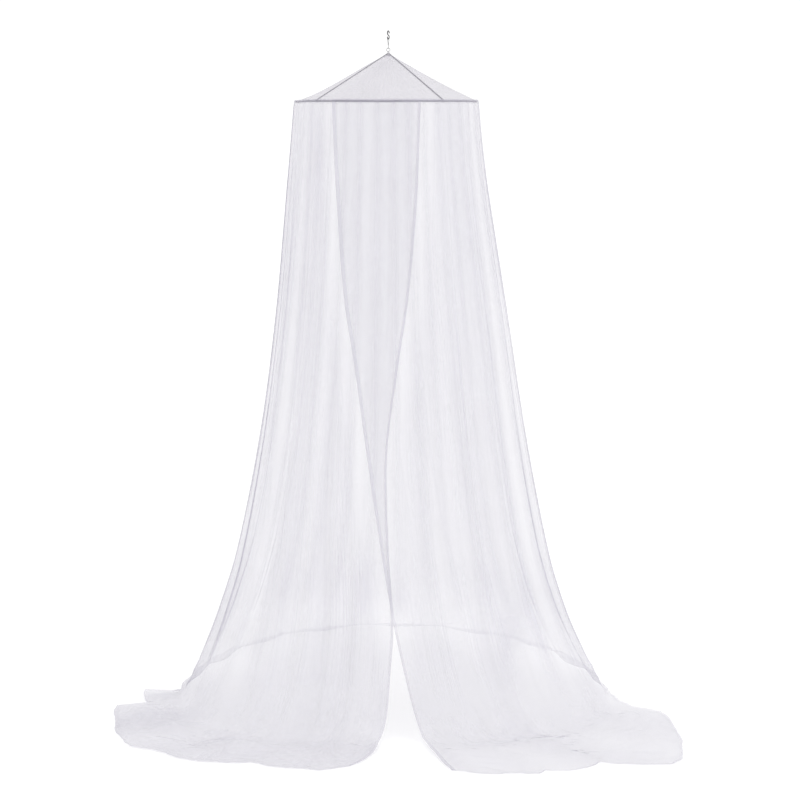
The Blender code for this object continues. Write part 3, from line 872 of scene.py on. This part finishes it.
def wall_rows():
    """The wall net before its fine relief, row by row from the heading to the hem, with its measures.

    base is the points, and place the way across the net from 0 to 1. length is the way down the cloth, and
    level the hoop's height less that. out is the way along the floor, from the foot (0) to the hem (1). angle
    is the direction, lying the length that lies on the floor, and lapped is 1 where the panels overlap.
    """
    place = np.linspace(0.0, 1.0, WALL_COLUMNS + 1)[None, :]
    turns = np.array(HEADING_TURNS)[:, None]
    heights = np.concatenate([TOP_ROWS, MIDDLE_ROWS, FOOT_ROWS])[:, None]
    steps = PUDDLE_STEPS[:, None]
    parts = [heading_points(place, turns), wall_points(place, heights), puddle_points(place, steps)]
    base = np.concatenate(parts)
    heights = np.concatenate([np.full_like(turns, HOOP_HEIGHT), heights])
    length = lengths(base)
    out = np.concatenate([np.zeros_like(heights), steps])
    angle = np.concatenate([wall_angle(place, heights), puddle_angle(place, steps)])
    lying = straight(HEM, "angle", "reach", angle) - wall_radius(place, 0.0)
    lapped = smooth(LAPPED_FROM, LAPPED_FULL, past_lap(place, heights))
    lapped = np.concatenate([lapped, np.zeros((len(steps), place.size))])
    return WallRows(base, place, length, (HOOP_HEIGHT - length)[:, None], out, angle, lying, lapped)


def wall_relief(rows):
    """How far the gathers and creases lift the wall net off its own surface, and how creased it is."""
    inner = np.where(rows.place < 0.5, 0.0, rows.lapped)
    amount = straight(GATHER_SHARES, "length", "amount", rows.length)[:, None]
    depth = straight(GATHER_DEPTHS, "length", "amount", rows.length)[:, None]
    on_floor = FLOOR_GATHER + (1.0 - FLOOR_GATHER) * smooth(0.0, FLOOR_GATHER_TOP, rows.level)
    amount = amount * on_floor * smooth(*FLOOR_GATHER_FADE, rows.out)
    lift = gathers(rows.place, rows.level) - GATHER_SUNK * (1.0 - rows.lapped)
    shift = depth * amount * lift * (1.0 - LAPPED_GATHER * rows.lapped)
    shift = np.where(rows.level < LAP_TURN_IN, shift * (1.0 - 2.0 * inner), shift)
    above = np.maximum(CREASE_START - rows.level, 0.0) * (rows.out == 0.0)
    run = rows.lying * rows.out + above + CREASE_START * (rows.out > 0.0)
    crease = creases(rows.angle, run) * smooth(0.0, CREASE_START, run)
    return shift + CREASE_DEPTH * crease * (1.0 - CREASE_FADE * rows.out**2), crease


def behind(angle):
    """1 on the back half of the net, 0 on the front half."""
    return smooth(*BACK_FROM, angle) * smooth(*BACK_TO, angle)


def wall_sheer(rows):
    """The share of the light that one layer of the plain net stops."""
    angle, level = rows.angle, rows.level
    back = behind(angle)
    sheer = straight(WALL_SHEER, "length", "amount", rows.length)[:, None]
    sheer = sheer * (1.0 - BACK_THIN * back * smooth(BACK_FOOT, 0.0, level))
    on_floor = straight(PUDDLE_SHEER, "angle", "sheer", angle)
    sheer = sheer + (on_floor - sheer) * smooth(0.0, PUDDLE_BLEND, rows.out)
    low = smooth(*LOW_TOP, level) * smooth(*LOW_FOOT, level)
    sheer = sheer * (1.0 + LOW_DENSE * (1.0 - back) * low)
    sheer = sheer * (1.0 - LAP_THIN * rows.lapped)
    for patch in PATCHES:
        across = (angle - patch.angle - patch.lean * (level - patch.height)) / patch.span
        along = (level - patch.height) / patch.tall
        sheer = sheer * (1.0 + patch.amount * np.exp(-across * across - along * along))
    flank_r = wall_radius(rows.place, np.full_like(level, FLANK_HEIGHT))
    flank = np.abs(np.gradient(flank_r, axis=1)) / (FLANK_R * math.tau / WALL_COLUMNS)
    edgewise = smooth(*FLANK_FROM, np.minimum(angle, 360.0 - angle)) * smooth(*FLANK_FOOT, level)
    return sheer * (1.0 - FLANK_THIN * np.clip(flank, 0.0, 1.0) * edgewise)


def wall_density(rows, shift, crease):
    """The share of the light that the net stops, with its gathers, creases, hem, edges and heading."""
    sheer = wall_sheer(rows)
    back = behind(rows.angle)
    column = np.linalg.norm(np.gradient(rows.base, axis=1), axis=-1)
    slope = np.abs(np.gradient(shift, axis=1)) / np.maximum(column, 1e-5)
    streak = smooth(0.0, STREAK_FULL, rows.length)[:, None]
    density = sheer * (SLOPE_PLAIN + (SLOPE_TOP + SLOPE_MORE * streak) * np.clip(slope, 0.0, SLOPE_MOST))
    density = density + sheer * (STREAK_TOP + STREAK_MORE * streak) * waver(STREAKS, rows.place, rows.level)
    density = density + CREASE_DENSE * crease * (1.0 - CREASE_BEHIND * back)
    from_hem = np.where(rows.out > 0.0, rows.lying * (1.0 - rows.out), 1.0)
    density = np.where(from_hem < HEM_BAND, HEM_BAND_DENSE * density, density)
    density = np.where(from_hem < HEM_EDGE, HEM_EDGE_DENSITY - HEM_EDGE_BEHIND * back, density)
    on_edge = (rows.place < EDGE_BAND) | (rows.place > 1.0 - EDGE_BAND)
    density = np.where(on_edge, EDGE_DENSITY, density)
    aside = np.abs((rows.angle - HEADING_THIN_AT + 180.0) % 360.0 - 180.0)
    heading = HEADING_DENSITY - HEADING_THIN * smooth(*HEADING_THIN_SPAN, aside)
    return np.where(rows.length[:, None] < HEADING_BAND, heading, density)


def make_wall(material):
    """The wall net: one open sheet from its turned-in heading down to the hem on the floor."""
    rows = wall_rows()
    shift, crease = wall_relief(rows)
    grid = rows.base + outward(rows.base) * shift[..., None]

    # The hem wanders in and out a little, and no part of the net sinks into the floor.
    wiggle = waver(HEM_WANDER, rows.angle, 0.0) + waver(HEM_WAVER, rows.angle, 0.0)
    turn = np.radians(rows.angle)
    push = (wiggle * rows.out**3)[..., None]
    grid = grid + push * np.stack([np.sin(turn), -np.cos(turn), np.zeros_like(turn)], axis=-1)
    grid[..., 2] = np.maximum(grid[..., 2], FLOOR_Z + FLOOR_CLEAR)

    width = np.linalg.norm(np.diff(grid, axis=1), axis=2).sum(axis=1).mean()
    across = np.linspace(0.0, width, WALL_COLUMNS + 1)[None, :]
    uv = np.stack(np.broadcast_arrays(across, rows.length[:, None]), axis=-1)
    return sheet_object("wall_cloth", grid, uv, wall_density(rows, shift, crease), material)


def make_roof(material):
    """The roof net: a shallow cone from the knot to the rim, hanging a little between the tapes."""
    angle = (TAPE_ANGLES[0] + 360.0 * np.arange(ROOF_COLUMNS) / ROOF_COLUMNS)[None, :]
    turn = np.radians(angle)
    along = (np.linspace(0.0, 1.0, ROOF_ROWS + 1) ** ROOF_ROW_POWER)[:, None]
    radius = ROOF_TOP_R + (ROOF_RIM_R - ROOF_TOP_R) * along
    rim_z = hoop_z(angle) + ROOF_OVER_HOOP
    number, between_tapes = tape_span(angle)
    hang = np.sin(math.pi * between_tapes) ** 2
    way = along ** np.array(ROOF_HANG_WAYS)[number]
    fall = np.array(ROOF_HANGS)[number] * hang * 4.0 * way * (1.0 - way)
    z = ROOF_TOP_Z + (rim_z - ROOF_TOP_Z) * along - fall

    # The pleats are uneven round the roof, and fade out towards the knot, the rim and the tapes.
    phase = ROOF_PLEATS * turn
    for shift in ROOF_PLEAT_SHIFTS:
        phase = phase + ripple(shift, turn)
    strength = ROOF_PLEAT_MEAN + ripple(ROOF_PLEAT_CHANGE, turn) * np.cos(ROOF_PLEAT_BEATS * turn)
    lift = ROOF_PLEAT_DEPTH * (0.5 + 0.5 * np.cos(phase)) * strength
    lift = lift * smooth(*ROOF_PLEAT_KNOT, along) * smooth(*ROOF_PLEAT_RIM, along)
    lift = lift * smooth(*ROOF_PLEAT_TAPE, hang)
    grid = around(radius, angle, z + lift)

    slope = np.abs(np.gradient(lift, axis=1)) / (radius * math.tau / ROOF_COLUMNS)
    density = ROOF_SHEER + ROOF_SLOPE_DENSE * np.clip(slope, 0.0, 1.0)
    density = density + ROOF_KNOT_DENSE * smooth(ROOF_KNOT_REACH, 0.0, along)
    density = np.where(along > ROOF_EDGE, ROOF_EDGE_DENSITY, density)
    across = np.linspace(0.0, math.tau * ROOF_FLAT_R, ROOF_COLUMNS)[None, :]
    uv = np.stack(np.broadcast_arrays(across, lengths(grid)[:, None]), axis=-1)
    return sheet_object("roof_cloth", grid, uv, density, material, closed=True)


def make_hoop(material):
    """The hoop's rod."""
    angle = TAPE_ANGLES[0] + 360.0 * np.arange(HOOP_STEPS) / HOOP_STEPS
    return tube("hoop_rod", around(HOOP_R, angle, hoop_z(angle)), HOOP_ROD_R, True, material)


def tape_path(angle):
    """A tape's middle line, as radii and heights: straight from the knot to the hoop, and round its rod."""
    rod = (HOOP_R, float(hoop_z(angle)))
    round_r = HOOP_ROD_R + SEAT + TAPE_THICK / 2.0
    top = np.array([TAPE_TOP_R, ROOF_TOP_Z + TAPE_OVER_ROOF])
    fall = math.degrees(math.atan2(top[1] - rod[1], rod[0] - top[0]))
    reach = math.hypot(rod[0] - top[0], rod[1] - top[1])
    touch = 90.0 - fall + math.degrees(math.asin(round_r / reach))
    curl = arc(rod, round_r, touch, touch - TAPE_CURL, ROUND_STEP)
    run = [top + (np.array(curl[0]) - top) * n / TAPE_STEPS for n in range(TAPE_STEPS)]
    return np.array([*run, *curl])


def make_tapes(material):
    """The four flat tapes that carry the hoop."""
    made = []
    for number, angle in enumerate(TAPE_ANGLES):
        path = tape_path(angle)
        across = np.linspace(-0.5, 0.5, TAPE_COLUMNS) * TAPE_WIDTH
        middle = around(path[:, 0], angle, path[:, 1])[:, None, :]
        turn = math.radians(angle + 90.0)
        side = np.array([math.sin(turn), -math.cos(turn), 0.0])
        grid = middle + across[None, :, None] * side
        uv = np.stack(np.broadcast_arrays(across[None, :], lengths(path)[:, None]), axis=-1)
        tape = sheet_object(f"tape_band_{number + 1}", grid, uv, np.ones(grid.shape[:2]), material)
        body = tape.modifiers.new("Thickness", "SOLIDIFY")
        body.thickness = TAPE_THICK * TAPE_BAND_SHARE
        body.offset = 0.0
        made.append(tape)
    return made


def make_hook(material):
    """The S-hook: an upper and a lower curl that meet in the middle."""
    upper = (0.0, WIRE_R - CURL_R)
    lower = (0.0, upper[1] - 2.0 * CURL_R)
    path = arc(upper, CURL_R, 270.0 - CURL_TURN, 270.0, CURL_STEP)
    path = path + arc(lower, CURL_R, 90.0, 90.0 - CURL_TURN, CURL_STEP)[1:]
    turn = math.radians(HOOK_PLANE)
    points = [(u * math.cos(turn), u * math.sin(turn), z) for u, z in path]
    return tube("hook_wire", points, WIRE_R, False, material)


def cord_path():
    """The cord loop's middle line, over the hook's foot and under the ring's top, turning as it falls."""
    top = WIRE_R - 4.0 * CURL_R
    foot = RING_Z + RING_R
    top_r = WIRE_R + SEAT + CORD_R
    foot_r = RING_WIRE_R + SEAT + CORD_R
    upper = [(u, z, 0.0) for u, z in arc((0.0, top), top_r, 0.0, 180.0, ROUND_STEP)]
    lower = [(u, z, 1.0) for u, z in arc((0.0, foot), foot_r, 180.0, 360.0, ROUND_STEP)]
    down = []
    for n in range(1, CORD_STEPS):
        share = n / CORD_STEPS
        half = top_r + (foot_r - top_r) * float(smooth(0.0, 1.0, share))
        half = half - CORD_DRAW * math.sin(math.pi * share)
        down.append((half, top + (foot - top) * share, share))
    path = upper + [(-u, z, share) for u, z, share in down] + lower + down[::-1]
    start = HOOK_PLANE + 90.0
    points = []
    for u, z, share in path:
        turn = math.radians(start + (RING_PLANE - start) * float(smooth(0.0, 1.0, share)))
        points.append((u * math.cos(turn), u * math.sin(turn), z))
    return np.array(points)


def twisted(name, path, radius, turns, material):
    """Two yarns laid round each other along a closed path."""
    tangent = np.roll(path, -1, axis=0) - np.roll(path, 1, axis=0)
    tangent /= np.linalg.norm(tangent, axis=1)[:, None]
    step = np.linalg.norm(np.diff(path, axis=0, append=path[:1]), axis=1)
    run = np.concatenate([[0.0], np.cumsum(step)])[:-1] / step.sum()
    first = np.cross(tangent, TWIST_SIDE)
    first /= np.linalg.norm(first, axis=1)[:, None]
    second = np.cross(tangent, first)
    made = []
    for strand in range(2):
        turn = (math.tau * turns * run + math.pi * strand)[:, None]
        points = path + radius * TWIST_SHARE * (np.cos(turn) * first + np.sin(turn) * second)
        made.append(tube(f"{name}_{strand + 1}", points, radius * YARN_SHARE, True, material, smoothness=3))
    return made


def knot_thread_path():
    """The thread's path, wound down the knot's outline from its top to its foot."""
    points = []
    for n in range(KNOT_TURNS * KNOT_STEPS + 1):
        share = n / (KNOT_TURNS * KNOT_STEPS)
        z = THREAD_TOP + (THREAD_FOOT - THREAD_TOP) * share
        radius = float(straight(KNOT_OUTLINE, "z", "radius", z))
        turn = math.tau * share * KNOT_TURNS
        points.append((radius * math.cos(turn), radius * math.sin(turn), z))
    return points


def make_knot(material):
    """Thread wound round the tapes' bound top, over a core, with the small arch of tape through the ring."""
    thread = tube("knot_thread", knot_thread_path(), THREAD_R, False, material, smoothness=2)
    core_path = [(0.0, 0.0, z) for z in (CORE_TOP, 0.5 * (ARCH_LEGS + KNOT_FOOT), CORE_FOOT)]
    core = tube("knot_core", core_path, CORE_R, False, material, smoothness=6)
    bend = arc((0.0, RING_Z - RING_R), ARCH_R, 0.0, 180.0, ROUND_STEP)
    path = [(ARCH_R, ARCH_LEGS), *bend, (-ARCH_R, ARCH_LEGS)]
    arch = tube("knot_arch", [(0.0, u, z) for u, z in path], ARCH_WIRE_R, False, material, smoothness=4)
    return [thread, core, arch]


# ---------------------------------------------------------------- materials
wall_finish = net_material("wall_mesh_finish", (0.492, 0.476, 0.550), (0.540, 0.524, 0.598))
roof_finish = net_material("roof_mesh_finish", (0.535, 0.516, 0.570), (0.585, 0.566, 0.620))
hoop_finish = mottled_material(
    "hoop_rod_finish", (0.27, 0.26, 0.29), roughness=0.5, metallic=0.0,
    scale=60.0, detail=4.0, low=(0.23, 0.22, 0.25), high=(0.31, 0.30, 0.335),
)
# The tapes' dark grey has their shade painted into it.
tape_painted_shade_finish = tape_material()
knot_finish = mottled_material(
    "knot_finish", (0.50, 0.49, 0.52), roughness=0.9, metallic=0.0,
    scale=700.0, detail=3.0, low=(0.43, 0.42, 0.45), high=(0.57, 0.56, 0.59),
)
cord_finish = mottled_material(
    "cord_finish", (0.13, 0.13, 0.135), roughness=0.85, metallic=0.0,
    scale=900.0, detail=3.0, low=(0.10, 0.10, 0.105), high=(0.17, 0.17, 0.175),
)
steel_finish = mottled_material(
    "ring_finish", (0.26, 0.26, 0.27), roughness=0.42, metallic=0.7,
    scale=500.0, detail=4.0, low=(0.20, 0.20, 0.21), high=(0.31, 0.31, 0.32),
)
dark_finish = mottled_material(
    "hook_finish", (0.045, 0.045, 0.048), roughness=0.42, metallic=0.3,
    scale=380.0, detail=5.0, low=(0.030, 0.030, 0.032), high=(0.062, 0.061, 0.064),
)

# ---------------------------------------------------------------- the dressed object
wall = make_wall(wall_finish)
roof = make_roof(roof_finish)
hoop = make_hoop(hoop_finish)
tapes = make_tapes(tape_painted_shade_finish)
hook = make_hook(dark_finish)
cords = twisted("cord_yarn", cord_path(), CORD_R, CORD_TURNS, cord_finish)
knot = make_knot(knot_finish)
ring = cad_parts["apex_ring"]
ring.data.materials.clear()
ring.data.materials.append(steel_finish)

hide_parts("wall_net")
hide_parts("roof_net")
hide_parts("hoop")
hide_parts("hook")
for number, tape in enumerate(tapes):
    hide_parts(f"tape_{number + 1}")
for piece in cords:
    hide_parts("cord_loop")
for piece in knot:
    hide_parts("apex_knot")
for piece in [wall, roof, hoop, hook, *tapes, *cords, *knot]:
    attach(piece, "root")

# ---------------------------------------------------------------- stage, light and camera
bpy.ops.mesh.primitive_plane_add(size=FLOOR_SIZE, location=(0.0, 0.0, FLOOR_Z - FLOOR_DROP))
floor = bpy.context.object
floor.name = "floor"
floor_finish = new_material("floor_finish", (0.975, 0.975, 0.975), roughness=0.9)
_, floor_shader = shading(floor_finish)
floor_shader.inputs["Specular IOR Level"].default_value = 0.0
floor.data.materials.append(floor_finish)

world = bpy.data.worlds.new("studio")
bpy.context.scene.world = world
world.use_nodes = True
world.node_tree.nodes["Background"].inputs["Color"].default_value = (1.0, 1.0, 1.0, 1.0)
world.node_tree.nodes["Background"].inputs["Strength"].default_value = WORLD_STRENGTH

sun = link(bpy.data.objects.new("key", bpy.data.lights.new("key", "SUN")))
sun.data.energy = SUN_STRENGTH
sun.data.angle = math.radians(SUN_SPREAD)
sun.rotation_euler = (math.radians(SUN_TILT), 0.0, math.radians(SUN_TURN))

camera_data = bpy.data.cameras.new("camera")
camera = link(bpy.data.objects.new("camera", camera_data))
camera_data.sensor_fit = "HORIZONTAL"
camera_data.sensor_width = SENSOR_WIDTH
camera_data.lens = SENSOR_WIDTH * FOCAL_PX / FRAME_PX
camera_data.clip_end = FLOOR_SIZE
yaw = math.atan2(AXIS_PX - FRAME_PX / 2.0, FOCAL_PX)
camera.location = (0.0, -CAMERA_DISTANCE, HOOP_Z - CAMERA_DROP)
camera.rotation_euler = (math.radians(90.0 - CAMERA_PITCH), 0.0, yaw)
bpy.context.scene.camera = camera
bpy.context.scene.view_settings.view_transform = "Standard"
bpy.context.scene.view_settings.look = "None"
